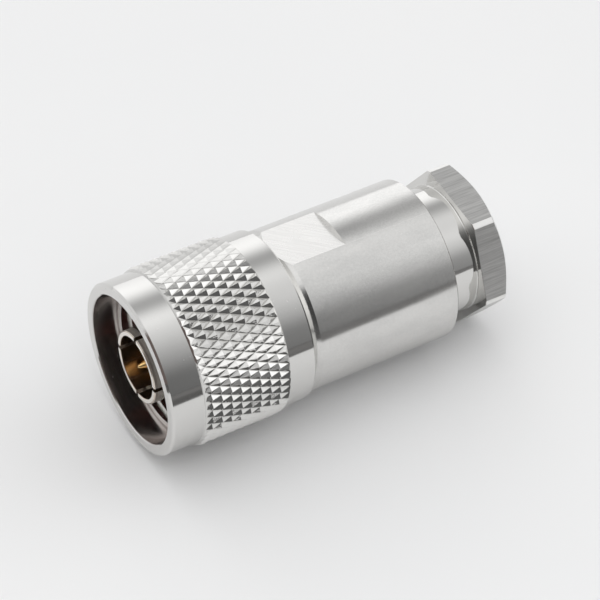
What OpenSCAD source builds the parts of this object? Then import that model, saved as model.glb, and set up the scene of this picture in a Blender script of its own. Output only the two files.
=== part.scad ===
// N type cable plug, clamp pattern, 50 ohm, for 10.3 mm coaxial cable.
// The axis of the plug lies along X, the mating end faces -X and +Z is up.
// The origin is on the axis at the reference plane, the front end of the
// slotted outer contact. All sizes are in millimetres.

/* [View] */
// Piece to show

/* [Coupling nut] */
// Length of the coupling nut
nut_l = 17; // [16:0.1:19]
// How far its rim stands in front of the reference plane
nut_lead = 0.8; // [0.4:0.05:1.5]
// Coupling thread, 5/8-24, over its roots
thread_d = 15.94; // [15.9:0.01:16]
// Wall between those roots and the smooth bands at both ends
nut_wall = 1.63; // [1.3:0.01:1.8]
// Radial relief of the plain mouth over the thread
mouth_relief = 0.33; // [0.1:0.01:0.5]
// Depth of the plain mouth in front of the thread
mouth_l = 2.95; // [1:0.05:3.5]
// Step behind the thread, measured from the gasket seat
step_back = 0.7; // [0.3:0.05:1]
// Edge breaks on the outside of the nut
nut_edge = 0.22; // [0.1:0.01:0.3]

/* [Knurl] */
// Smooth band in front of the knurl
band_front = 3.65; // [2.5:0.05:3.8]
// Rise of the knurl's points over the smooth bands
knurl_rise = 0.4; // [0.1:0.01:0.5]
// Depth of the knurl from point to groove crossing
knurl_depth = 0.36; // [0.25:0.01:0.4]
// Diamonds around the knurl
knurl_n = 58; // [40:1:72]
// Columns of diamond points along the knurl
knurl_cols = 9; // [5:2:9]
// Spacing of those columns along the axis
knurl_step = 1.145; // [0.9:0.005:1.2]
// First column of points from the front end of the knurl
knurl_end = 0.885; // [0.7:0.005:0.95]
// Last column of points from the rear end of the knurl
knurl_tail = 0.205; // [0.15:0.005:0.3]

/* [Mating contacts] */
// Outer diameter of the slotted outer contact
outer_d = 8.16; // [8:0.01:8.3]
// Bore of the outer contact
outer_bore = 7.04; // [6.95:0.01:7.1]
// Number of slots in the outer contact
slot_n = 4; // [3:1:6]
// Width of a slot
slot_w = 0.5; // [0.3:0.05:0.8]
// Length of a slot
slot_l = 6.8; // [5:0.1:7.5]
// Turn of the slots against the wrench flats, in degrees
slot_turn = 4; // [0:1:45]
// Radial step of the outer contact under the gasket
shank_h = 0.3; // [0.2:0.01:0.4]
// Height of its rear flange over that shank
flange_h = 0.42; // [0.3:0.01:0.6]
// Thickness of that flange
flange_w = 1; // [0.6:0.05:1.5]
// Diameter of the centre pin
pin_d = 1.66; // [1.6:0.01:1.7]
// Diameter of the pin's blunt tip
pin_tip_d = 0.34; // [0.15:0.01:0.4]
// Length of the taper behind the tip
pin_taper = 2; // [1:0.1:3]
// How far the pin tip sits behind the reference plane
pin_back = 0.26; // [0.1:0.01:0.6]
// Shoulder of the centre contact behind the reference plane
shoulder_back = 5.33; // [5.2:0.01:5.8]
// Diameter of the centre conductor behind the shoulder
inner_d = 3.04; // [2.9:0.01:3.1]
// Radial height of the collar on the centre conductor
collar_h = 0.7; // [0.4:0.05:1]
// Thickness of that collar
collar_w = 0.6; // [0.4:0.05:0.8]
// Bore of the solder cup
cup_d = 2.3; // [2.2:0.05:2.4]
// Depth of the solder cup
cup_l = 5; // [4:0.1:5.4]
// Solder hole in the side of the cup
cup_hole_d = 0.7; // [0.5:0.05:1]

/* [Gasket and insulators] */
// Gasket seat behind the reference plane
seat_back = 9.5; // [9.3:0.05:9.8]
// Thickness of the interface gasket
seal_t = 0.8; // [0.5:0.05:1.2]
// Front of the front insulator behind the gasket seat
bead_back = 0.3; // [0.1:0.05:0.6]
// Radial depth of its recess in the outer contact
bead_h = 0.28; // [0.2:0.01:0.4]
// Length of the front insulator
bead_l = 2.8; // [2:0.05:3.2]
// Length of the rear insulator
rear_l = 4.8; // [4:0.1:5.5]

/* [Main body] */
// Wall of the body around the gland thread
body_wall = 1.92; // [1.6:0.01:2.2]
// Length of the body behind the coupling nut
body_l = 17.8; // [16.5:0.1:20]
// Length of the taper at the front of the body
body_taper = 0.95; // [0.5:0.05:1.2]
// Radial height of that taper
body_drop = 0.7; // [0.3:0.05:0.9]
// Depth of the two wrench flats
flat_depth = 0.61; // [0.4:0.01:0.8]
// Length of the wrench flats from the front of the body
flat_l = 7.4; // [5:0.1:9]
// Diameter of the journal that carries the coupling nut
journal_d = 14; // [13.4:0.1:14.4]
// Snap ring behind the step of the coupling nut
ring_back = 2.4; // [1.5:0.1:2.6]
// Width of the snap ring
ring_w = 0.9; // [0.6:0.05:1.1]
// How far the snap ring reaches into the body and into the nut
ring_grip = 0.5; // [0.35:0.01:0.6]
// Opening of the split snap ring
ring_gap = 1.8; // [1:0.1:3]
// Gap between the coupling nut and the body behind it
nut_gap = 0.12; // [0.1:0.01:0.3]

/* [Cable clamp] */
// Diameter of the cable that the plug takes
cable_d = 10.3; // [9.8:0.1:10.4]
// Diameter of the insulation inside the cable's braid
core_d = 7.5; // [7.2:0.1:7.6]
// Wall of the clamp nut between the cable bore and its thread, 9/16-24
gland_wall = 1.78; // [1.6:0.01:1.9]
// Space behind the rear insulator, where the solder cup stands out
cup_out = 1; // [0.5:0.1:1.5]
// Room between the solder cup and the cable clamp's cone
cup_room = 0.8; // [0.5:0.1:1.2]
// Gap between the body's cone and the braid clamp, filled by the braid
braid_gap = 0.2; // [0.1:0.05:0.3]
// Length of that cone
cone_l = 2.1; // [1.6:0.1:2.6]
// Length of the front lip of the braid clamp
lip_l = 1.6; // [1:0.1:2]
// Length of the braid clamp
clamp_l = 4.6; // [4:0.1:5]
// Radial step from the gland thread down to the bore of the clamp parts
thread_h = 0.68; // [0.6:0.01:0.75]
// Free length of the cable gasket
gasket_l = 5.4; // [4.8:0.1:6]
// Depth of the vee in the cable gasket
vee_l = 0.85; // [0.5:0.05:1]
// Thickness of the thrust washer
washer_t = 1; // [0.8:0.1:1.4]
// Plain neck in sight between the body and the hexagon
neck_l = 3.7; // [3:0.1:5]
// How far the blunted corners stay inside the body's radius
hex_drop = 0.11; // [0:0.01:0.5]
// How much the corners of the hexagon are blunted
hex_blunt = 0.165; // [0.05:0.005:0.3]
// Length of the hexagon
hex_l = 3.4; // [3:0.1:5]
// Turn of the hexagon's corners against the wrench flats, in degrees
hex_turn = 12.3; // [-30:0.1:30]
// How far the rear chamfer cuts inside the hexagon's flats
hex_bevel = 0.55; // [0.3:0.05:0.8]
// Depth of the rounded cable entry
entry_l = 0.8; // [0.4:0.1:1.2]

/* [Fits and edges] */
// Radial running clearance of the nuts on their journal and in their thread
run = 0.06; // [0.03:0.01:0.09]
// Radial clearance between seated pieces
seat = 0.03; // [0.02:0.01:0.05]
// Radial clearance of the cable in the clamp parts
cable_room = 0.2; // [0.15:0.01:0.3]
// Common edge break
edge = 0.12; // [0.05:0.01:0.15]

/* [Hidden] */
$fn = 120;
lap = 0.06;

// stations along the axis
x_rim = -nut_lead;
x_mouth = x_rim + mouth_l;
x_knurl = x_rim + band_front;
x_nut_end = x_rim + nut_l;
x_body = x_nut_end + nut_gap;
x_body_end = x_body + body_l;
x_hex = x_body_end + neck_l;
x_end = x_hex + hex_l;
x_seal = seat_back - seal_t;
x_nut_step = seat_back + step_back;
x_ring = x_nut_step + ring_back;
x_ring_end = x_ring + ring_w;
x_bead = seat_back + bead_back;
x_bead_end = x_bead + bead_l;
x_flange = x_bead_end + collar_w - flange_w;
x_rear = x_flange + flange_w;
x_rear_end = x_rear + rear_l;
x_cup_end = x_rear_end + cup_out;
x_cone = x_cup_end + cup_room;
x_clamp = x_cone + braid_gap;
x_deep = x_clamp + cone_l;
x_gland = x_clamp + clamp_l;
x_washer = x_gland + gasket_l;
x_thread = x_washer + washer_t;

// radii, from the cable outwards
r_cable = cable_d / 2 + cable_room;
r_core = core_d / 2;
r_gland = r_cable + gland_wall;
r_clamp = r_gland - thread_h;
r_vee = (r_cable + r_clamp) / 2;
r_body = r_gland + run + body_wall;
r_flat = r_body - flat_depth;
r_hex = r_body - hex_drop;
r_inscribed = (r_hex + hex_blunt) * cos(30);
r_bevel = r_inscribed - hex_bevel;

// radii, from the centre pin outwards
r_inner = inner_d / 2;
r_collar = r_inner + collar_h;
r_bore = outer_bore / 2;
r_bead = r_bore + bead_h;
r_outer = outer_d / 2;
r_shank = r_outer + shank_h;
r_flange = r_shank + flange_h;
r_journal = journal_d / 2;
r_ring_in = r_journal - ring_grip;
r_ring_out = r_journal + ring_grip;
r_nut_bore = r_journal + run;
r_thread = thread_d / 2;
r_mouth = r_thread + mouth_relief;
r_band = r_thread + nut_wall;
r_point = r_band + knurl_rise;
r_valley = r_point - knurl_depth;
r_sleeve = r_band - nut_edge;
knurl_l = knurl_end + (knurl_cols - 1) * knurl_step + knurl_tail;

// turns a profile of [x, r] points into a solid about the X axis
module turned(points) {
  rotate([90, 0, 90])
    rotate_extrude()
      polygon([for (p = points) [p[1], p[0]]]);
}

// plain round bar or bore along X from x0 to x1
module bar(x0, x1, r) {
  translate([x0, 0, 0])
    rotate([0, 90, 0])
      cylinder(r = r, h = x1 - x0);
}

// Diamond knurl: a sleeve whose outside is a field of four-sided points.
// Every column holds points and groove crossings by turns, and the next
// column is shifted by half a diamond, so the grooves run between the
// crossings as two opposed helices. A 45 degree chamfer cuts the knurl at
// both ends: knurl_cut is how far it reaches in on a ridge line in front, and
// the last column lies so near the end that its points are cut off whole.
function knurl_r(k, i) = ((k + i) % 2 == 0) ? r_point : r_valley;
function knurl_cut(k, i) =
  let (g = (knurl_r(k + 1, i) - knurl_r(k, i)) / knurl_step)
    (knurl_r(k, i) - r_band + g * knurl_end) / (1 + g);
function tail_cut(r) =
  let (g = (r_point - r_valley) / knurl_step)
    (r - r_band + g * knurl_tail) / (1 + g);
function knurl_row(j, i) =
  j == 0 ? [0, r_band - lap] :
  j == 1 ? let (c = knurl_cut(0, i)) [c, r_band + c] :
  j == knurl_cols + 1 && (j + i) % 2 == 0 ?
    let (c = tail_cut(r_point)) [knurl_l - c, r_band + c] :
  j == knurl_cols + 2 ? let (c = tail_cut(r_valley)) [knurl_l - c, r_band + c] :
  j == knurl_cols + 3 ? [knurl_l, r_band - lap] :
  [knurl_end + (j - 2) * knurl_step, knurl_r(j - 2, i)];
module knurl_sleeve() {
  m = 2 * knurl_n;
  rows = knurl_cols + 4;
  outside = [
    for (j = [0:rows - 1]) for (i = [0:m - 1])
      let (p = knurl_row(j, i), a = 360 * i / m)
        [p[0], p[1] * cos(a), p[1] * sin(a)]
  ];
  inside = [
    for (x = [0, knurl_l]) for (i = [0:m - 1])
      let (r = r_sleeve - 4 * lap, a = 360 * i / m)
        [x, r * cos(a), r * sin(a)]
  ];
  base = rows * m;
  last = (rows - 1) * m;
  skin = [
    for (j = [0:rows - 2]) for (i = [0:m - 1])
      let (
        n = (i + 1) % m,
        p = j * m + i, q = j * m + n,
        s = (j + 1) * m + i, t = (j + 1) * m + n,
        point_at_p = ((j + i) % 2 == 0) != (j == knurl_cols + 1)
      )
      each (point_at_p ? [[p, s, q], [q, s, t]] : [[p, t, q], [p, s, t]])
  ];
  core = [
    for (i = [0:m - 1])
      let (n = (i + 1) % m)
        each [
          [base + i, base + n, base + m + n],
          [base + i, base + m + n, base + m + i]
        ]
  ];
  front = [
    for (i = [0:m - 1])
      let (n = (i + 1) % m)
        each [[i, n, base + n], [i, base + n, base + i]]
  ];
  back = [
    for (i = [0:m - 1])
      let (n = (i + 1) % m, c = base + m)
        each [[last + i, c + i, c + n], [last + i, c + n, last + n]]
  ];
  polyhedron(
    points = concat(outside, inside),
    faces = concat(skin, core, front, back)
  );
}

module coupling_nut() {
  color("#c4c6c7") {
    turned([
      [x_rim, r_mouth + edge],
      [x_rim, r_band - nut_edge],
      [x_rim + nut_edge, r_band],
      [x_knurl + lap, r_band],
      [x_knurl + lap, r_sleeve],
      [x_knurl + knurl_l - lap, r_sleeve],
      [x_knurl + knurl_l - lap, r_band],
      [x_nut_end - nut_edge, r_band],
      [x_nut_end, r_band - nut_edge],
      [x_nut_end, r_nut_bore + 2 * edge],
      [x_nut_end - 2 * edge, r_nut_bore],
      [x_ring_end + seat, r_nut_bore],
      [x_ring_end + seat, r_ring_out + edge],
      [x_ring - seat, r_ring_out + edge],
      [x_ring - seat, r_nut_bore],
      [x_nut_step + edge, r_nut_bore],
      [x_nut_step, r_nut_bore + edge],
      [x_nut_step, r_thread],
      [x_mouth + edge, r_thread],
      [x_mouth, r_thread + edge],
      [x_mouth, r_mouth],
      [x_rim + edge, r_mouth]
    ]);
    translate([x_knurl, 0, 0])
      knurl_sleeve();
  }
}

// split spring ring that holds the coupling nut on the body
module snap_ring() {
  color("#b9a36a")
    difference() {
      turned([
        [x_ring, r_ring_in],
        [x_ring, r_ring_out],
        [x_ring_end, r_ring_out],
        [x_ring_end, r_ring_in]
      ]);
      translate([x_ring - lap, -ring_gap / 2, 0])
        cube([ring_w + 2 * lap, ring_gap, r_ring_out + lap]);
    }
}

// flat ring with a bevelled front edge on the shank of the outer contact
module interface_gasket() {
  color("#7b2c22")
    turned([
      [x_seal, r_shank + edge],
      [x_seal, r_journal - 2 * edge],
      [seat_back, r_journal - edge],
      [seat_back, r_shank + seat]
    ]);
}

// spring sleeve, slotted from the front and held by its rear flange
module outer_contact() {
  color("#cdcecb")
    difference() {
      turned([
        [0, r_bore + edge / 2],
        [0, r_outer - edge],
        [edge, r_outer],
        [x_seal, r_outer],
        [x_seal, r_shank],
        [x_flange, r_shank],
        [x_flange, r_flange],
        [x_rear, r_flange],
        [x_rear, r_bead],
        [x_bead, r_bead],
        [x_bead, r_bore],
        [edge / 2, r_bore]
      ]);
      for (i = [0:slot_n - 1])
        rotate([slot_turn + 360 * i / slot_n, 0, 0])
          translate([-lap, -slot_w / 2, 0])
            cube([slot_l + lap, slot_w, r_outer + lap]);
    }
}

// gold plated pin with a solder cup at its rear end
module center_contact() {
  color("#c9a24a")
    difference() {
      turned([
        [pin_back, 0],
        [pin_back, pin_tip_d / 4],
        [pin_back + pin_tip_d / 4, pin_tip_d / 2],
        [pin_back + pin_taper, pin_d / 2],
        [shoulder_back, pin_d / 2],
        [shoulder_back, r_inner - edge],
        [shoulder_back + edge, r_inner],
        [x_bead_end, r_inner],
        [x_bead_end, r_collar],
        [x_rear, r_collar],
        [x_rear, r_inner],
        [x_cup_end, r_inner],
        [x_cup_end, 0]
      ]);
      bar(x_cup_end - cup_l, x_cup_end + lap, cup_d / 2);
      translate([x_cup_end - cup_hole_d, 0, 0])
        cylinder(d = cup_hole_d, h = inner_d);
    }
}

// bead in the rear of the outer contact, held by the collar of the pin
module front_insulator() {
  color("#ece9df")
    turned([
      [x_bead, r_inner + seat],
      [x_bead, r_bead - seat],
      [x_bead_end, r_bead - seat],
      [x_bead_end, r_inner + seat]
    ]);
}

// bead behind the flange, with a bevelled lead for the solder cup
module rear_insulator() {
  color("#ece9df")
    turned([
      [x_rear, r_inner + seat],
      [x_rear, r_flange],
      [x_rear_end - edge, r_flange],
      [x_rear_end, r_flange - edge],
      [x_rear_end, r_inner + seat + 2 * edge],
      [x_rear_end - 2 * edge, r_inner + seat]
    ]);
}

// turned body with two wrench flats; the coupling nut runs on its journal
module main_body() {
  color("#c2c4c5")
    difference() {
      turned([
        [seat_back, r_shank + seat],
        [seat_back, r_journal - edge],
        [seat_back + edge, r_journal],
        [x_ring - seat, r_journal],
        [x_ring - seat, r_ring_in - edge],
        [x_ring_end + seat, r_ring_in - edge],
        [x_ring_end + seat, r_journal],
        [x_body, r_journal],
        [x_body, r_body - body_drop],
        [x_body + body_taper, r_body],
        [x_body_end - edge, r_body],
        [x_body_end, r_body - edge],
        [x_body_end, r_gland + run + edge],
        [x_body_end - edge, r_gland + run],
        [x_gland + thread_h, r_gland + run],
        [x_gland + lap, r_clamp + seat],
        [x_deep, r_clamp + seat],
        [x_cone, r_flange + seat],
        [x_flange, r_flange + seat],
        [x_flange, r_shank + seat]
      ]);
      for (s = [0, 180])
        rotate([s, 0, 0])
          translate([x_body - lap, -r_body, r_flat])
            cube([flat_l + lap, 2 * r_body, r_body]);
    }
}

// tapered ferrule that presses the cable braid against the body
module braid_clamp() {
  color("#c8c4b8")
    turned([
      [x_clamp, r_core],
      [x_clamp, r_flange - braid_gap],
      [x_deep, r_clamp],
      [x_gland, r_clamp],
      [x_gland, (r_vee + r_clamp) / 2],
      [x_gland + vee_l / 3, r_vee],
      [x_gland, (r_vee + r_cable) / 2],
      [x_gland, r_cable],
      [x_clamp + lip_l, r_cable],
      [x_clamp + lip_l, r_core]
    ]);
}

// rubber ring with a vee in its front face
module cable_gasket() {
  color("#2b2a29")
    turned([
      [x_gland, r_cable],
      [x_gland, (r_vee + r_cable) / 2 - seat],
      [x_gland + vee_l, r_vee],
      [x_gland, (r_vee + r_clamp) / 2 + seat],
      [x_gland, r_clamp - seat],
      [x_washer, r_clamp - seat],
      [x_washer, r_cable]
    ]);
}

module thrust_washer() {
  color("#bdb48f")
    turned([
      [x_washer, r_cable],
      [x_washer, r_clamp],
      [x_thread, r_clamp],
      [x_thread, r_cable]
    ]);
}

// gland nut: thread and plain neck, then the hexagon with blunted corners
module clamp_nut() {
  color("#c4c6c7")
    difference() {
      union() {
        turned([
          [x_thread, 0],
          [x_thread, r_gland - 3 * edge],
          [x_thread + 3 * edge, r_gland],
          [x_hex - edge, r_gland],
          [x_hex - edge / 3, r_gland + edge / 3],
          [x_hex, r_gland + edge],
          [x_hex + lap, r_gland + edge],
          [x_hex + lap, 0]
        ]);
        intersection() {
          translate([x_hex, 0, 0])
            rotate([hex_turn, 0, 0])
              rotate([0, 90, 0])
                rotate([0, 0, 30])
                  cylinder(r = r_hex + hex_blunt, h = hex_l, $fn = 6);
          turned([
            [x_hex, 0],
            [x_hex, r_hex - edge / 2],
            [x_hex + edge / 2, r_hex],
            [x_end - (r_hex - r_bevel) * tan(30), r_hex],
            [x_end, r_bevel],
            [x_end, 0]
          ]);
        }
      }
      turned([
        [x_thread - lap, 0],
        [x_thread - lap, r_cable],
        [x_end - entry_l, r_cable],
        [x_end - entry_l / 2, r_cable + entry_l / 4],
        [x_end, r_cable + entry_l * 3 / 4],
        [x_end + lap, r_cable + entry_l * 3 / 4],
        [x_end + lap, 0]
      ]);
    }
}

coupling_nut();
snap_ring();
interface_gasket();
outer_contact();
center_contact();
front_insulator();
rear_insulator();
main_body();
braid_clamp();
cable_gasket();
thrust_washer();
clamp_nut();
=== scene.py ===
"""A type N cable plug lying on a pale floor, dressed round its CAD frame.

The frame's origin is on the plug's axis at the front end of the outer contact,
+X runs along the axis to the cable end. All lengths here are in metres.
"""

import math

import bmesh
import bpy
from mathutils import Matrix, Vector


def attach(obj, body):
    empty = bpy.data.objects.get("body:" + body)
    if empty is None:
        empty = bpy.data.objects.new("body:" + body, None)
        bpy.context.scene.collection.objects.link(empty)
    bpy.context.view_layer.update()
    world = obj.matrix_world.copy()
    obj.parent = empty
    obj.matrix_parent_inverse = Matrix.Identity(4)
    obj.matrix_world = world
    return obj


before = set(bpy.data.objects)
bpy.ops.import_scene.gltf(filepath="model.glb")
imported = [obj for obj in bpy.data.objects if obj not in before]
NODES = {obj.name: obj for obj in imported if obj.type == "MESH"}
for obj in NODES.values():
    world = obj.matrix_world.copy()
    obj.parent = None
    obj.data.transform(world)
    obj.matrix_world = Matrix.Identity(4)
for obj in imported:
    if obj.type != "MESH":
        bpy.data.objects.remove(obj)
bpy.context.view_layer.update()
MM = 0.001

# sizes that the looks share with the solids
RIM_X = -0.8 * MM
MOUTH_R = 8.3 * MM
MOUTH_END_X = 2.15 * MM
THREAD_R = 7.97 * MM
THREAD_END_X = 10.2 * MM
THREAD_START = math.radians(60.0)
BAND_R = 9.6 * MM
KNURL_R = 10.0 * MM
FLAT_Z = 8.5 * MM
NECK_R = 7.13 * MM
HEX_X = 37.82 * MM
HEX_CORNER_R = 9.0 * MM
SLEEVE_R = 4.08 * MM
SLEEVE_BORE_R = 3.52 * MM

# how the plug lies: it leans 2.4 degrees on knurl and body, rolled a little
ROLL = math.radians(3.3)
FLOOR_NORMAL_UNROLLED = Vector((-0.0417, -0.0707, 0.9966))
FLOOR_OFFSET = -10.53 * MM


def rolled(vector):
    """A vector of the unrolled camera solution, in the row frame."""
    return Matrix.Rotation(ROLL, 3, "X") @ Vector(vector)


UP = rolled(FLOOR_NORMAL_UNROLLED).normalized()


# ---------------------------------------------------------------- camera

# as solved from the turned edges in the photo; the place is from the nut's rim
CAMERA_HEADING = math.radians(59.463)
CAMERA_TILT = math.radians(41.874)
CAMERA_PLACE = (-90.7 * MM, -188.7 * MM, 196.85 * MM)
SENSOR_WIDTH = 36.0
FOCAL_LENGTH = 165.528


def make_camera():
    level = math.cos(CAMERA_TILT)
    forward = rolled((
        level * math.cos(CAMERA_HEADING),
        level * math.sin(CAMERA_HEADING),
        -math.sin(CAMERA_TILT),
    ))
    right = rolled((math.sin(CAMERA_HEADING), -math.cos(CAMERA_HEADING), 0.0))
    above = right.cross(forward)
    place = rolled(CAMERA_PLACE)
    place.x += RIM_X
    data = bpy.data.cameras.new("camera")
    data.sensor_width = SENSOR_WIDTH
    data.lens = FOCAL_LENGTH
    data.clip_start = 0.01
    data.clip_end = 20.0
    camera = bpy.data.objects.new("camera", data)
    turn = Matrix((right, above, -forward)).transposed()
    camera.matrix_world = Matrix.Translation(place) @ turn.to_4x4()
    bpy.context.scene.collection.objects.link(camera)
    bpy.context.scene.camera = camera


# ---------------------------------------------------------------- nodes

class Graph:
    """Small helper that adds nodes to a tree and links them."""

    def __init__(self, tree):
        self.tree = tree
        tree.nodes.clear()

    def add(self, kind, **settings):
        node = self.tree.nodes.new(kind)
        for name, value in settings.items():
            setattr(node, name, value)
        return node

    def feed(self, socket, value):
        if isinstance(value, bpy.types.NodeSocket):
            self.tree.links.new(value, socket)
        else:
            socket.default_value = value

    def math(self, operation, *values):
        node = self.add("ShaderNodeMath", operation=operation)
        for socket, value in zip(node.inputs, values):
            self.feed(socket, value)
        return node.outputs[0]

    def xyz(self, vector):
        node = self.add("ShaderNodeSeparateXYZ")
        self.feed(node.inputs[0], vector)
        return node.outputs[0], node.outputs[1], node.outputs[2]

    def join(self, x, y, z):
        node = self.add("ShaderNodeCombineXYZ")
        for socket, value in zip(node.inputs, (x, y, z)):
            self.feed(socket, value)
        return node.outputs[0]

    def stretch(self, x, y, z, along, across):
        """The point with x scaled by along, y and z by across."""
        return self.join(
            self.math("MULTIPLY", x, along),
            self.math("MULTIPLY", y, across),
            self.math("MULTIPLY", z, across))

    def ramp(self, value, stops, mode="LINEAR"):
        node = self.add("ShaderNodeValToRGB")
        node.color_ramp.interpolation = mode
        points = node.color_ramp.elements
        while len(points) < len(stops):
            points.new(0.5)
        for point, (place, colour) in zip(points, stops):
            point.position = place
            if not isinstance(colour, tuple):
                colour = (colour,) * 3
            point.color = (*colour, 1.0)
        self.feed(node.inputs[0], value)
        return node.outputs["Color"]

    def mix(self, factor, a, b):
        node = self.add("ShaderNodeMix", data_type="RGBA")
        self.feed(node.inputs[0], factor)
        for socket, value in ((node.inputs[6], a), (node.inputs[7], b)):
            if isinstance(value, tuple) and len(value) == 3:
                value = (*value, 1.0)
            self.feed(socket, value)
        return node.outputs[2]

    def noise(self, vector, scale, detail=3.0, rough=0.5):
        node = self.add("ShaderNodeTexNoise")
        self.feed(node.inputs["Vector"], vector)
        self.feed(node.inputs["Scale"], scale)
        self.feed(node.inputs["Detail"], detail)
        self.feed(node.inputs["Roughness"], rough)
        return node.outputs["Fac"]

    def specks(self, vector, scale, size):
        """1 inside scattered dots, 0 elsewhere; most cells stay empty."""
        node = self.add("ShaderNodeTexVoronoi")
        self.feed(node.inputs["Vector"], vector)
        self.feed(node.inputs["Scale"], scale)
        near = self.step(node.outputs["Distance"], size * 1.3, size * 0.7)
        pick = self.xyz(node.outputs["Color"])[0]
        return self.math("MULTIPLY", near, self.step(pick, 0.72, 0.8))

    def bump(self, height, distance, normal=None):
        node = self.add("ShaderNodeBump")
        self.feed(node.inputs["Strength"], 1.0)
        self.feed(node.inputs["Distance"], distance)
        self.feed(node.inputs["Height"], height)
        if normal is not None:
            self.feed(node.inputs["Normal"], normal)
        return node.outputs["Normal"]

    def span(self, value, low, high, curve="LINEAR"):
        """0 below low, 1 above high, straight between."""
        node = self.add("ShaderNodeMapRange", interpolation_type=curve)
        self.feed(node.inputs["Value"], value)
        self.feed(node.inputs["From Min"], low)
        self.feed(node.inputs["From Max"], high)
        return node.outputs["Result"]

    def step(self, value, low, high):
        """0 below low, 1 above high, smooth between."""
        return self.span(value, low, high, "SMOOTHSTEP")


def surface(name):
    """A new material: its graph, its principled shader and its position."""
    material = bpy.data.materials.new(name)
    material.use_nodes = True
    g = Graph(material.node_tree)
    out = g.add("ShaderNodeOutputMaterial")
    shader = g.add("ShaderNodeBsdfPrincipled")
    g.tree.links.new(shader.outputs[0], out.inputs["Surface"])
    place = g.add("ShaderNodeTexCoord").outputs["Object"]
    return material, g, shader, place


def around(g, place):
    """x, y, z and the distance from the plug's axis."""
    x, y, z = g.xyz(place)
    square = g.math("ADD", g.math("MULTIPLY", y, y), g.math("MULTIPLY", z, z))
    return x, y, z, g.math("SQRT", square)


def turned_grain(g, x, y, z, radius, along, across):
    """Noise drawn out round the axis: fine along x, long round the girth."""
    inverse = g.math("DIVIDE", 1.0, g.math("MAXIMUM", radius, 1e-5))
    ny = g.math("MULTIPLY", y, inverse)
    nz = g.math("MULTIPLY", z, inverse)
    return g.noise(g.stretch(x, ny, nz, along, across), 1.0, 3.0, 0.6)


# ---------------------------------------------------------------- metals

NICKEL = (0.755, 0.75, 0.735)


def bright_nickel(name):
    """Coupling nut: polished plate with a faint turned grain and stray specks."""
    material, g, shader, place = surface(name)
    x, y, z, radius = around(g, place)
    cloud = g.noise(place, 260.0, 3.0, 0.55)
    colour = g.mix(cloud, NICKEL, tuple(c * 0.93 for c in NICKEL))
    grain = turned_grain(g, x, y, z, radius, 9000.0, 24.0)
    fine = g.noise(place, 7000.0, 2.0, 0.5)
    # the bore is duller, as plate is that no polish has reached
    inner = g.math("MULTIPLY",
                   g.step(radius, MOUTH_R + 0.08 * MM, MOUTH_R + 0.02 * MM),
                   g.step(x, THREAD_END_X + 0.4 * MM, THREAD_END_X))
    bore = g.mix(cloud, (0.59, 0.55, 0.53), (0.48, 0.445, 0.43))
    colour = g.mix(inner, colour, bore)
    rough = g.math("ADD", 0.08, g.math("MULTIPLY", inner, 0.1))
    fine = g.math("MULTIPLY", fine, g.math("SUBTRACT", 1.0, inner))
    # rolled facets carry small ripples, and their grooves are darkened: painted shade
    knurl = g.step(radius, BAND_R + 0.02 * MM, BAND_R + 0.06 * MM)
    ripple = g.noise(place, 2600.0, 2.0, 0.55)
    groove = g.step(radius, KNURL_R - 0.24 * MM, KNURL_R - 0.34 * MM)
    painted_groove_shade = g.math("MULTIPLY", knurl, groove)
    colour = g.mix(g.math("MULTIPLY", painted_groove_shade, 0.22), colour, (0.3, 0.295, 0.285))
    spots = g.specks(place, 1500.0, 0.09)
    colour = g.mix(g.math("MULTIPLY", spots, 0.5), colour, (0.93, 0.92, 0.9))
    g.feed(shader.inputs["Base Color"], colour)
    shader.inputs["Metallic"].default_value = 1.0
    uneven = g.math("MULTIPLY", g.math("SUBTRACT", cloud, 0.5), 0.05)
    uneven = g.math("ADD", uneven, g.math("MULTIPLY", spots, 0.35))
    g.feed(shader.inputs["Roughness"], g.math("ADD", rough, uneven))
    normal = g.bump(grain, 0.0000006)
    normal = g.bump(fine, 0.0000006, normal)
    normal = g.bump(g.math("MULTIPLY", ripple, knurl), 0.000014, normal)
    g.feed(shader.inputs["Normal"], normal)
    return material


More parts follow.
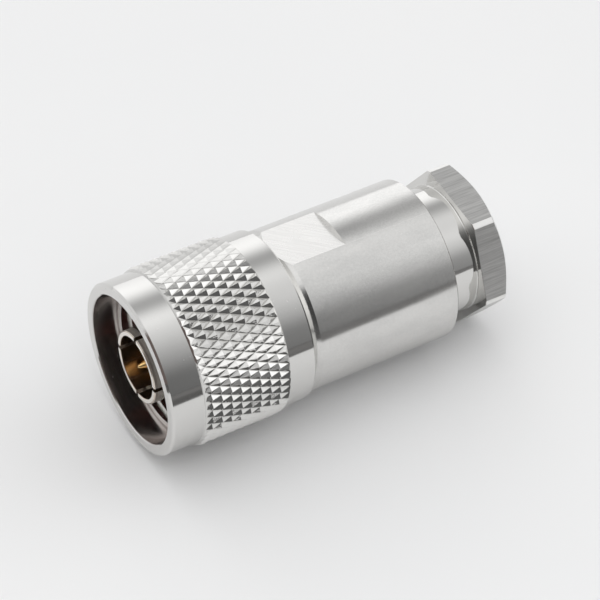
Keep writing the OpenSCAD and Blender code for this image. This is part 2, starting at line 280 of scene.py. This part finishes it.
def satin_nickel(name):
    """Fine turned body; its two wrench flats are milled and matte."""
    material, g, shader, place = surface(name)
    x, y, z, radius = around(g, place)
    tint = (0.75, 0.745, 0.73)
    cloud = g.noise(place, 420.0, 4.0, 0.6)
    patch = g.noise(g.stretch(x, y, z, 150.0, 330.0), 1.0, 4.0, 0.65)
    patch = g.step(patch, 0.36, 0.66)
    colour = g.mix(cloud, tint, (0.7, 0.695, 0.68))
    colour = g.mix(g.math("MULTIPLY", patch, 0.45), colour, (0.6, 0.598, 0.59))
    grain = turned_grain(g, x, y, z, radius, 14000.0, 90.0)
    fine = g.noise(place, 9000.0, 3.0, 0.7)
    salt = g.noise(place, 4600.0, 2.0, 0.6)
    salt = g.math("MULTIPLY", g.step(salt, 0.35, 0.65), 0.16)
    colour = g.mix(salt, colour, (0.9, 0.895, 0.88))
    spots = g.specks(place, 1300.0, 0.07)
    colour = g.mix(g.math("MULTIPLY", spots, 0.45), colour, (0.92, 0.915, 0.9))
    # milled flats: fine crossed scratches
    height_z = g.math("ABSOLUTE", z)
    flat = g.math("MULTIPLY",
                  g.step(height_z, FLAT_Z + 0.004 * MM, FLAT_Z + 0.001 * MM),
                  g.step(height_z, FLAT_Z - 0.004 * MM, FLAT_Z - 0.001 * MM))
    cut_a = g.noise(g.join(
        g.math("MULTIPLY", g.math("ADD", x, g.math("MULTIPLY", y, 0.9)), 3200.0),
        g.math("MULTIPLY", g.math("SUBTRACT", x, y), 160.0), 0.0), 1.0, 3.0, 0.6)
    cut_b = g.noise(g.join(
        g.math("MULTIPLY", g.math("SUBTRACT", x, g.math("MULTIPLY", y, 0.45)), 2700.0),
        g.math("MULTIPLY", g.math("ADD", x, y), 180.0), 3.0), 1.0, 3.0, 0.6)
    cut_tone = g.step(cut_a, 0.35, 0.65)
    colour = g.mix(flat, colour, g.mix(cut_tone, (0.82, 0.813, 0.8), (0.88, 0.873, 0.858)))
    g.feed(shader.inputs["Base Color"], colour)
    shader.inputs["Metallic"].default_value = 1.0
    rough = g.math("ADD", 0.115, g.math("MULTIPLY", g.math("SUBTRACT", cloud, 0.5), 0.1))
    rough = g.math("ADD", rough, g.math("MULTIPLY", flat, 0.16))
    g.feed(shader.inputs["Roughness"], rough)
    body = g.math("ADD", g.math("MULTIPLY", grain, 0.6), g.math("MULTIPLY", fine, 0.6))
    cuts = g.math("ADD", cut_a, g.math("MULTIPLY", cut_b, 0.35))
    height = g.math("ADD",
                    g.math("MULTIPLY", body, g.math("SUBTRACT", 1.0, flat)),
                    g.math("MULTIPLY", g.math("MULTIPLY", cuts, 1.3), flat))
    g.feed(shader.inputs["Normal"], g.bump(height, 0.0000042))
    return material


def gland_nickel(name):
    """Clamp nut: mirror neck, hexagon flats drawn along the axis."""
    material, g, shader, place = surface(name)
    x, y, z, radius = around(g, place)
    cloud = g.noise(place, 300.0, 3.0, 0.5)
    colour = g.mix(cloud, NICKEL, (0.71, 0.705, 0.69))
    outside = g.math("MULTIPLY",
                     g.step(x, HEX_X + 0.02 * MM, HEX_X + 0.06 * MM),
                     g.step(radius, NECK_R + 0.4 * MM, NECK_R + 0.6 * MM))
    streak = g.noise(g.stretch(x, y, z, 260.0, 8200.0), 1.0, 3.0, 0.6)
    band = g.noise(g.stretch(x, y, z, 60.0, 1900.0), 1.0, 2.0, 0.5)
    marks = g.math("ADD", streak, g.math("MULTIPLY", band, 0.5))
    shade = g.mix(g.step(marks, 0.5, 1.0), (0.44, 0.437, 0.43), (0.64, 0.636, 0.626))
    # painted highlight: the hexagon's corner lands get a lighter colour than the flats
    corner_highlight = g.step(radius, HEX_CORNER_R - 0.045 * MM, HEX_CORNER_R - 0.015 * MM)
    shade = g.mix(corner_highlight, shade, (0.9, 0.895, 0.88))
    colour = g.mix(outside, colour, shade)
    g.feed(shader.inputs["Base Color"], colour)
    shader.inputs["Metallic"].default_value = 1.0
    rough = g.math("ADD", 0.07, g.math("MULTIPLY", outside, 0.26))
    g.feed(shader.inputs["Roughness"], rough)
    fine = g.noise(place, 6000.0, 2.0, 0.5)
    height = g.math("ADD",
                    g.math("MULTIPLY", fine, 0.1),
                    g.math("MULTIPLY", marks, g.math("MULTIPLY", outside, 0.8)))
    g.feed(shader.inputs["Normal"], g.bump(height, 0.000004))
    return material


def plated(name, tint, rough):
    """Small turned and plated piece."""
    material, g, shader, place = surface(name)
    x, y, z, radius = around(g, place)
    cloud = g.noise(place, 700.0, 3.0, 0.5)
    colour = g.mix(cloud, tint, tuple(c * 0.86 for c in tint))
    g.feed(shader.inputs["Base Color"], colour)
    shader.inputs["Metallic"].default_value = 1.0
    g.feed(shader.inputs["Roughness"], g.math("ADD", rough, g.math("MULTIPLY", cloud, 0.06)))
    grain = turned_grain(g, x, y, z, radius, 12000.0, 30.0)
    g.feed(shader.inputs["Normal"], g.bump(grain, 0.0000008))
    return material


def contact_plate():
    """Slotted outer contact: light outside, a brown bore."""
    material, g, shader, place = surface("contact_plate")
    x, y, z, radius = around(g, place)
    cloud = g.noise(place, 700.0, 3.0, 0.5)
    ring = g.noise(g.join(g.math("MULTIPLY", x, 1500.0), 0.3, 0.7), 1.0, 2.0, 0.6)
    ring = g.step(ring, 0.4, 0.6)
    light = g.mix(cloud, (1.0, 0.975, 0.93), (0.92, 0.89, 0.84))
    colour = g.mix(ring, light, (0.62, 0.575, 0.53))
    bore = g.step(radius, SLEEVE_BORE_R + 0.06 * MM, SLEEVE_BORE_R + 0.02 * MM)
    slot = g.math("MULTIPLY",
                  g.step(radius, SLEEVE_R - 0.02 * MM, SLEEVE_R - 0.04 * MM),
                  g.step(x, 0.01 * MM, 0.03 * MM))
    colour = g.mix(slot, colour, (0.62, 0.54, 0.45))
    colour = g.mix(bore, colour, (0.66, 0.54, 0.44))
    g.feed(shader.inputs["Base Color"], colour)
    shader.inputs["Metallic"].default_value = 1.0
    turned = g.math("MULTIPLY_ADD", ring, -0.16, 0.36)
    rough = g.math("ADD", g.math("MULTIPLY", turned, g.math("SUBTRACT", 1.0, slot)),
                   g.math("MULTIPLY", slot, 0.14))
    g.feed(shader.inputs["Roughness"], g.math("ADD", rough, g.math("MULTIPLY", cloud, 0.06)))
    grain = turned_grain(g, x, y, z, radius, 5000.0, 16.0)
    g.feed(shader.inputs["Normal"], g.bump(grain, 0.000005))
    return material


def moulded(name, tint, rough, mottle):
    """Rubber or PTFE: no metal, faint mottle and pores."""
    material, g, shader, place = surface(name)
    cloud = g.noise(place, 900.0, 4.0, 0.6)
    pores = g.noise(place, 6500.0, 3.0, 0.6)
    g.feed(shader.inputs["Base Color"], g.mix(cloud, tint, mottle))
    g.feed(shader.inputs["Roughness"], g.math("ADD", rough, g.math("MULTIPLY", pores, 0.12)))
    g.feed(shader.inputs["Normal"], g.bump(pores, 0.000004))
    return material


def dress(node, material):
    data = NODES[node].data
    data.materials.clear()
    data.materials.append(material)


# ---------------------------------------------------------------- light

# Radiance that the nickel sees, by the angle round the plug's axis and by how
# far the ray leans along it (its x): degrees, then one level for each of LEANS.
# 0 degrees is level behind the plug, 90 above it and 180 level in front of it.
# The levels were worked out from brightness that other scripts measured on the
# photo's metal and on renders, then rounded. They aren't a lamp set-up designed
# by hand.
LEANS = (-0.65, -0.13, 0.32, 0.42, 0.68)
TENT = (
    (0, 0.8, 1.1, 1.15, 1.25, 1.4), (9, 0.8, 1.0, 1.13, 1.22, 1.3),
    (17, 0.8, 0.86, 1.24, 1.3, 1.05), (25, 0.8, 0.85, 1.3, 1.3, 0.76),
    (33, 0.8, 0.95, 1.28, 1.26, 0.62), (41, 0.8, 1.08, 1.06, 0.98, 0.7),
    (49, 0.8, 1.14, 0.7, 0.63, 0.76), (57, 0.8, 1.08, 0.47, 0.42, 0.8),
    (66, 0.9, 0.9, 0.54, 0.48, 0.86), (74, 1.0, 0.98, 0.86, 0.64, 0.92),
    (82, 1.0, 1.14, 1.1, 0.8, 1.02), (90, 1.0, 1.3, 1.08, 0.86, 1.16),
    (99, 1.0, 1.34, 0.91, 0.83, 1.3), (107, 0.92, 1.22, 0.81, 0.84, 1.38),
    (115, 0.4, 0.92, 0.69, 0.88, 1.42), (123, 0.1, 0.5, 0.57, 0.9, 1.44),
    (131, 0.08, 0.28, 0.47, 0.81, 1.43), (139, 0.07, 0.16, 0.39, 0.71, 1.4),
    (147, 0.07, 0.13, 0.3, 0.6, 1.3), (156, 0.07, 0.12, 0.2, 0.41, 1.15),
    (164, 0.07, 0.12, 0.17, 0.32, 1.0), (172, 0.08, 0.12, 0.17, 0.3, 0.88),
    (180, 0.1, 0.13, 0.17, 0.27, 0.85), (196, 0.12, 0.15, 0.15, 0.23, 0.7),
    (215, 0.2, 0.16, 0.14, 0.18, 0.5), (300, 0.3, 0.3, 0.3, 0.3, 0.3),
    (340, 0.8, 1.1, 1.13, 1.12, 1.35),
)


PEAK = 1.5
ROOM = (0.11, 0.088, 0.082)
BACKDROP = (0.86, 0.862, 0.865, 1.0)


def tent_ramp(g, turn, column):
    """One column of TENT over the whole turn, scaled so that it stays below 1."""
    stops = [(row[0] / 360.0, row[column] / PEAK) for row in TENT]
    stops.append((1.0, TENT[0][column] / PEAK))
    return g.ramp(turn, stops, "B_SPLINE")


def make_world():
    world = bpy.data.worlds.new("studio")
    bpy.context.scene.world = world
    world.use_nodes = True
    g = Graph(world.node_tree)
    out = g.add("ShaderNodeOutputWorld")
    ray = g.add("ShaderNodeTexCoord").outputs["Generated"]
    x, y, z = g.xyz(ray)
    turn = g.math("DIVIDE", g.math("ARCTAN2", z, y), 2.0 * math.pi)
    turn = g.math("SUBTRACT", turn, ROLL / (2.0 * math.pi))
    turn = g.math("FRACT", g.math("ADD", turn, 1.0))
    tent = tent_ramp(g, turn, 1)
    for column in range(1, len(LEANS)):
        lean = g.span(x, LEANS[column - 1], LEANS[column])
        tent = g.mix(lean, tent, tent_ramp(g, turn, column + 1))
    # the dark room that the open mouth looks into
    ahead = g.math("SUBTRACT", g.math("MULTIPLY", x, -1.0), g.math("MULTIPLY", y, 0.8))
    room = g.math("MULTIPLY", g.step(ahead, 0.7, 0.9), g.step(x, -0.8, -0.88))
    tent = g.mix(room, tent, ROOM)
    soft = g.add("ShaderNodeBackground")
    g.feed(soft.inputs["Color"], tent)
    soft.inputs["Strength"].default_value = PEAK
    seen = g.add("ShaderNodeBackground")
    seen.inputs["Color"].default_value = BACKDROP
    seen.inputs["Strength"].default_value = 1.0
    path = g.add("ShaderNodeLightPath")
    mix = g.add("ShaderNodeMixShader")
    g.feed(mix.inputs[0], path.outputs["Is Camera Ray"])
    g.tree.links.new(soft.outputs[0], mix.inputs[1])
    g.tree.links.new(seen.outputs[0], mix.inputs[2])
    g.tree.links.new(mix.outputs[0], out.inputs["Surface"])


LAMP_AIM = Vector((0.02, 0.0, 0.0))


def make_lamp(name, place, size, power):
    """A soft lamp that lights the matte pieces and isn't seen in the metal."""
    data = bpy.data.lights.new(name, "AREA")
    data.shape = "RECTANGLE"
    data.size, data.size_y = size
    data.energy = power
    lamp = bpy.data.objects.new(name, data)
    lamp.location = place
    away = Vector(place) - LAMP_AIM
    lamp.rotation_mode = "QUATERNION"
    lamp.rotation_quaternion = away.to_track_quat("Z", "X")
    lamp.visible_glossy = False
    bpy.context.scene.collection.objects.link(lamp)


# the sheet painted on the floor for glossy rays ends between these two values of
# y, with a painted dark reflection past it; the floor that the camera sees goes on
SHEET_END_Y = (-0.0545, -0.0595)
FLOOR_HALF = 1.6


def make_floor():
    """Pale floor; for glossy rays it is painted as a sheet that ends in front of the plug,
    with a painted dark reflection beyond.
    """
    side = UP.cross(Vector((0.0, 1.0, 0.0))).normalized()
    ahead = UP.cross(side)
    middle = UP * FLOOR_OFFSET
    corners = [middle + side * a * FLOOR_HALF + ahead * b * FLOOR_HALF
               for a, b in ((-1, -1), (1, -1), (1, 1), (-1, 1))]
    mesh = bpy.data.meshes.new("floor")
    mesh.from_pydata([tuple(c) for c in corners], [], [(0, 1, 2, 3)])
    floor = bpy.data.objects.new("floor", mesh)
    bpy.context.scene.collection.objects.link(floor)
    material, g, shader, place = surface("floor_paper")
    x, y, z = g.xyz(place)
    cloud = g.noise(place, 30.0, 3.0, 0.5)
    pale = g.mix(cloud, (0.835, 0.84, 0.845), (0.86, 0.86, 0.86))
    # the end runs on a slant; beyond it the floor is painted dark for glossy rays, a painted
    # reflection of a dark room
    path = g.add("ShaderNodeLightPath")
    slant = g.math("ADD", g.math("MULTIPLY", g.span(x, 0.022, 0.038), 0.0128),
                   g.math("MULTIPLY", g.span(x, 0.06, 0.11), 0.07))
    edge = g.math("ADD", y, slant)
    end = g.step(edge, *SHEET_END_Y)
    room = g.mix(g.step(x, 0.03, 0.06), (0.1, 0.098, 0.097), (0.17, 0.167, 0.165))
    painted_reflection = g.mix(end, (0.8, 0.8, 0.8), room)
    g.feed(shader.inputs["Base Color"], g.mix(path.outputs["Is Glossy Ray"], pale, painted_reflection))
    shader.inputs["Roughness"].default_value = 0.8
    shader.inputs["Specular IOR Level"].default_value = 0.2
    mesh.materials.append(material)


# ---------------------------------------------------------------- thread

def coupling_thread():
    """Right-handed 5/8-24 ridge in the coupling nut, behind a thin lip."""
    pitch = 25.4 * MM / 24.0
    root = THREAD_R + 0.03 * MM
    crest = THREAD_R - 0.52 * MM
    flank = 0.29 * MM
    flat = 0.13 * MM
    steps = 120
    eighth = steps / 8.0
    first = MOUTH_END_X + 0.1 * MM + flank + flat
    last = THREAD_END_X - flank - flat
    rings = int((last - first) / pitch * steps)
    bm = bmesh.new()
    profile = ((-flat - flank, root), (-flat, crest), (flat, crest), (flat + flank, root))
    rows = []
    for i in range(rings + 1):
        turn = 2.0 * math.pi * i / steps + THREAD_START
        middle = first + pitch * i / steps
        # the ridge rises out of the wall over the first and last eighth turn
        rise = min(1.0, i / eighth, (rings - i) / eighth)
        row = []
        for along, radius in profile:
            r = root + (radius - root) * rise
            y, z = r * math.cos(turn), r * math.sin(turn)
            row.append(bm.verts.new((middle + along, y, z)))
        rows.append(row)
    for a, b in zip(rows, rows[1:]):
        for k in range(len(profile) - 1):
            bm.faces.new((a[k], a[k + 1], b[k + 1], b[k]))
    # lip: the flat face that the thread starts from
    lip = ((0.0, THREAD_R + 0.15 * MM), (0.0, crest + 0.04 * MM), (0.02 * MM, crest),
           (0.08 * MM, crest), (0.14 * MM, root))
    rows = []
    for i in range(steps):
        turn = 2.0 * math.pi * i / steps
        y, z = math.cos(turn), math.sin(turn)
        rows.append([bm.verts.new((MOUTH_END_X + along, r * y, r * z))
                     for along, r in lip])
    for a, b in zip(rows, rows[1:] + rows[:1]):
        for k in range(len(lip) - 1):
            bm.faces.new((a[k], a[k + 1], b[k + 1], b[k]))
    bmesh.ops.recalc_face_normals(bm, faces=bm.faces)
    mesh = bpy.data.meshes.new("coupling_thread")
    bm.to_mesh(mesh)
    bm.free()
    piece = bpy.data.objects.new("coupling_thread", mesh)
    bpy.context.scene.collection.objects.link(piece)
    # painted light: the ridge gets a lighter tint than the nut's nickel, to brighten it in
    # the shaded bore
    mesh.materials.append(plated("thread_plate_painted_light", (0.95, 0.945, 0.93), 0.16))
    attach(piece, "coupling")


# ---------------------------------------------------------------- the plug

def dress_all():
    dress("coupling_nut", bright_nickel("nickel_nut"))
    dress("main_body", satin_nickel("nickel_body"))
    dress("clamp_nut", gland_nickel("nickel_gland"))
    dress("outer_contact", contact_plate())
    dress("center_contact", plated("gold_plate", (1.0, 0.69, 0.31), 0.16))
    dress("snap_ring", plated("spring_bronze", (0.66, 0.5, 0.28), 0.3))
    dress("braid_clamp", plated("inner_plate", (0.7, 0.69, 0.66), 0.25))
    dress("thrust_washer", plated("washer_plate", (0.7, 0.68, 0.62), 0.3))
    ptfe = ((0.86, 0.85, 0.81), 0.4, (0.8, 0.79, 0.74))
    dress("front_insulator", moulded("ptfe_front", *ptfe))
    dress("rear_insulator", moulded("ptfe_rear", *ptfe))
    dress("interface_gasket",
          moulded("silicone", (0.34, 0.07, 0.05), 0.5, (0.26, 0.05, 0.04)))
    dress("cable_gasket",
          moulded("gasket_rubber", (0.03, 0.03, 0.03), 0.6, (0.05, 0.05, 0.05)))


make_camera()
make_world()
make_floor()
make_lamp("key_back", (0.02, 0.32, 0.2), (0.5, 0.25), 0.16)
make_lamp("top_soft", (0.02, -0.05, 0.4), (0.5, 0.4), 0.2)
make_lamp("front_fill", (-0.05, -0.32, 0.24), (0.4, 0.3), 0.38)
dress_all()
coupling_thread()

bpy.context.scene.view_settings.view_transform = "Standard"
